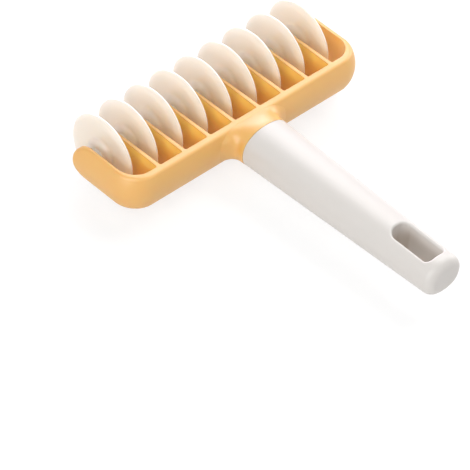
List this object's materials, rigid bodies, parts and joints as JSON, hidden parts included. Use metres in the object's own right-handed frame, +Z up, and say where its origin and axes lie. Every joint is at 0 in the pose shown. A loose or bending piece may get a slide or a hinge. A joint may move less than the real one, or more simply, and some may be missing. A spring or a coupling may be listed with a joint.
{
  "type": "pastry cutter",
  "caption": "Hand-held pastry strip cutter: plastic wheels spinning in a comb-shaped head, with a slotted grip handle.",
  "frame": {"origin": "middle of the bounding box at its lowest point, where the wheels touch a table", "axes": "+X along the head from the first wheel to the last, +Y from the handle towards the wheels, +Z up"},
  "size_m": [0.1724, 0.2032, 0.0455],
  "materials": {
    "head_plastic": "satin moulded polypropylene, light orange",
    "handle_plastic": "smooth white moulded plastic",
    "wheel_plastic": "satin cream acetal"
  },
  "bodies": {
    "frame": {"head": "head_plastic", "handle": "handle_plastic"},
    "wheel_1": {"wheel_1": "wheel_plastic"},
    "wheel_2": {"wheel_2": "wheel_plastic"},
    "wheel_3": {"wheel_3": "wheel_plastic"},
    "wheel_4": {"wheel_4": "wheel_plastic"},
    "wheel_5": {"wheel_5": "wheel_plastic"},
    "wheel_6": {"wheel_6": "wheel_plastic"},
    "wheel_7": {"wheel_7": "wheel_plastic"},
    "wheel_8": {"wheel_8": "wheel_plastic"},
    "wheel_9": {"wheel_9": "wheel_plastic"}
  },
  "joints": [
    {"name": "wheel_1_spin", "type": "hinge", "parent": "frame", "child": "wheel_1", "pos_m": [-0.072, 0.07888, 0.02275], "axis": [1, 0, 0], "continuous": true},
    {"name": "wheel_2_spin", "type": "hinge", "parent": "frame", "child": "wheel_2", "pos_m": [-0.054, 0.07888, 0.02275], "axis": [1, 0, 0], "continuous": true},
    {"name": "wheel_3_spin", "type": "hinge", "parent": "frame", "child": "wheel_3", "pos_m": [-0.036, 0.07888, 0.02275], "axis": [1, 0, 0], "continuous": true},
    {"name": "wheel_4_spin", "type": "hinge", "parent": "frame", "child": "wheel_4", "pos_m": [-0.018, 0.07888, 0.02275], "axis": [1, 0, 0], "continuous": true},
    {"name": "wheel_5_spin", "type": "hinge", "parent": "frame", "child": "wheel_5", "pos_m": [0, 0.07888, 0.02275], "axis": [1, 0, 0], "continuous": true},
    {"name": "wheel_6_spin", "type": "hinge", "parent": "frame", "child": "wheel_6", "pos_m": [0.018, 0.07888, 0.02275], "axis": [1, 0, 0], "continuous": true},
    {"name": "wheel_7_spin", "type": "hinge", "parent": "frame", "child": "wheel_7", "pos_m": [0.036, 0.07888, 0.02275], "axis": [1, 0, 0], "continuous": true},
    {"name": "wheel_8_spin", "type": "hinge", "parent": "frame", "child": "wheel_8", "pos_m": [0.054, 0.07888, 0.02275], "axis": [1, 0, 0], "continuous": true},
    {"name": "wheel_9_spin", "type": "hinge", "parent": "frame", "child": "wheel_9", "pos_m": [0.072, 0.07888, 0.02275], "axis": [1, 0, 0], "continuous": true}
  ]
}
